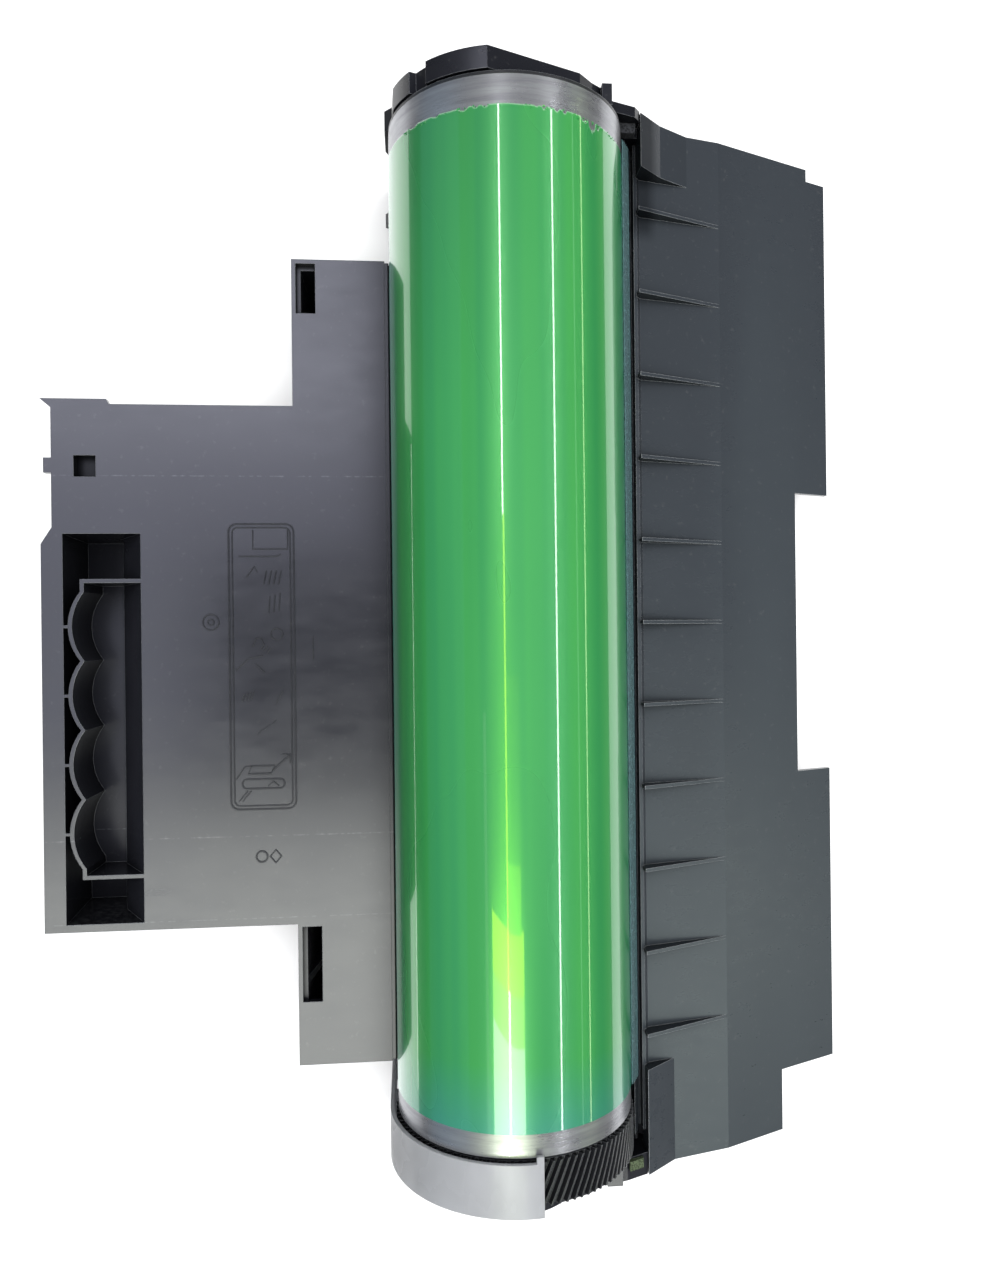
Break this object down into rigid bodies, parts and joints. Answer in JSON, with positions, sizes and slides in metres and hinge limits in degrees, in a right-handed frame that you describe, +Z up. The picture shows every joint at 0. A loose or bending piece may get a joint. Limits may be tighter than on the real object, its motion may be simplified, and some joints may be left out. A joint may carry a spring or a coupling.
{
  "type": "printer drum unit",
  "caption": "Laser printer drum unit: glossy green drum with bare metal ends on a dark frame, with a finned cover and a pocketed handle plate.",
  "frame": {"origin": "on the ground under the middle of the whole unit", "axes": "+Y along the drum towards its rear end, +X from the handle towards the finned cover, +Z up"},
  "size_m": [0.2144, 0.2892, 0.0739],
  "materials": {
    "frame_plastic": "moulded satin",
    "black_plastic": "moulded satin",
    "charcoal_plastic": "moulded satin",
    "milky_plastic": "translucent, satin",
    "polyester_film": "clear bluish film",
    "drum_aluminium": "turned, brushed",
    "green_coating": "dipped, glossy",
    "gear_plastic": "moulded acetal",
    "contact_metal": "stamped",
    "shaft_steel": "ground",
    "spring_steel": "stamped and drawn",
    "roller_rubber": "ground rubber",
    "bearing_plastic": "moulded acetal",
    "auger_plastic": "moulded",
    "blade_rubber": "cast polyurethane",
    "bracket_steel": "zinc-plated sheet",
    "screw_steel": "zinc-plated",
    "dark_foam": "polyurethane foam",
    "green_foam": "polyurethane foam",
    "circuit_board": "solder mask with gold pads"
  },
  "bodies": {
    "frame": {"main_frame": "frame_plastic", "rear_end_plate": "black_plastic", "drive_end_plate": "black_plastic", "handle_cover": "charcoal_plastic", "waste_cover": "charcoal_plastic", "gear_guard": "milky_plastic", "recovery_film": "polyester_film", "drum_shaft": "shaft_steel", "shaft_retaining_rings": "spring_steel", "charge_spring_rear": "spring_steel", "charge_spring_drive": "spring_steel", "auger_bushes": "bearing_plastic", "cleaning_blade": "blade_rubber", "blade_bracket": "bracket_steel", "blade_screws": "screw_steel", "end_plate_screws": "screw_steel", "foam_seal_rear": "dark_foam", "foam_seal_drive": "green_foam", "memory_chip_board": "circuit_board", "charge_contact": "spring_steel"},
    "drum": {"drum_tube": "drum_aluminium", "photoconductor_coating": "green_coating", "drive_flange": "gear_plastic", "rear_flange": "gear_plastic", "earth_plate": "contact_metal"},
    "charge_carriage": {"charge_bearing_rear": "bearing_plastic", "charge_bearing_drive": "bearing_plastic"},
    "charge_roller": {"charge_roller_core": "shaft_steel", "charge_roller_rubber": "roller_rubber"},
    "auger": {"waste_auger": "auger_plastic", "auger_gear": "gear_plastic"},
    "idler": {"idler_gear": "gear_plastic"}
  },
  "joints": [
    {"name": "drum_spin", "type": "hinge", "parent": "frame", "child": "drum", "pos_m": [0.01075, 0.0076, 0.042], "axis": [0, 1, 0], "continuous": true},
    {"name": "charge_slide", "type": "slide", "parent": "frame", "child": "charge_carriage", "axis": [-0.5736, 0, -0.8192], "range_m": [0, 0.001], "stiffness_N_per_m": 900, "springref_m": -0.004, "deforming": ["charge_spring_rear", "charge_spring_drive"]},
    {"name": "charge_roller_spin", "type": "hinge", "parent": "charge_carriage", "child": "charge_roller", "pos_m": [-0.01007, 0.0076, 0.01226], "axis": [0, 1, 0], "continuous": true},
    {"name": "idler_spin", "type": "hinge", "parent": "frame", "child": "idler", "pos_m": [0.03757, 0.0076, 0.02857], "axis": [0, 1, 0], "continuous": true},
    {"name": "auger_spin", "type": "hinge", "parent": "frame", "child": "auger", "pos_m": [0.05903, 0.0076, 0.01782], "axis": [0, 1, 0], "continuous": true}
  ],
  "couplings": [
    {"joint": "charge_roller_spin", "follows": "drum_spin", "ratio": -5},
    {"joint": "idler_spin", "follows": "drum_spin", "ratio": -2},
    {"joint": "auger_spin", "follows": "drum_spin", "ratio": 1.4286}
  ]
}
